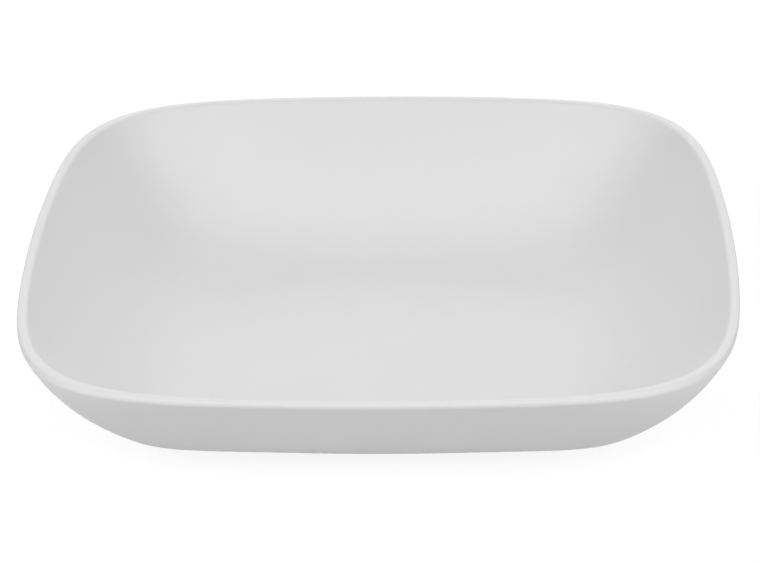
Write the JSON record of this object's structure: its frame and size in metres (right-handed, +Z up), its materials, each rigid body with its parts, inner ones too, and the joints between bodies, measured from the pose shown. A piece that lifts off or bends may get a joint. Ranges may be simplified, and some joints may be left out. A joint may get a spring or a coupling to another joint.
{
  "type": "square serving platter",
  "caption": "Deep square serving platter with soft corners: a thin moulded dish with bowed walls, a rounded lip, a flat floor and a low foot ring to stand on.",
  "frame": {"origin": "middle of the plane that the foot ring stands on", "axes": "+Z up out of the dish, -Y towards the front of the picture, +X to its right; X and Y run square to the sides"},
  "size_m": [0.3, 0.3, 0.059],
  "materials": {
    "moulded_white": "matte"
  },
  "bodies": {
    "root": {"platter_body": "moulded_white"}
  },
  "joints": []
}
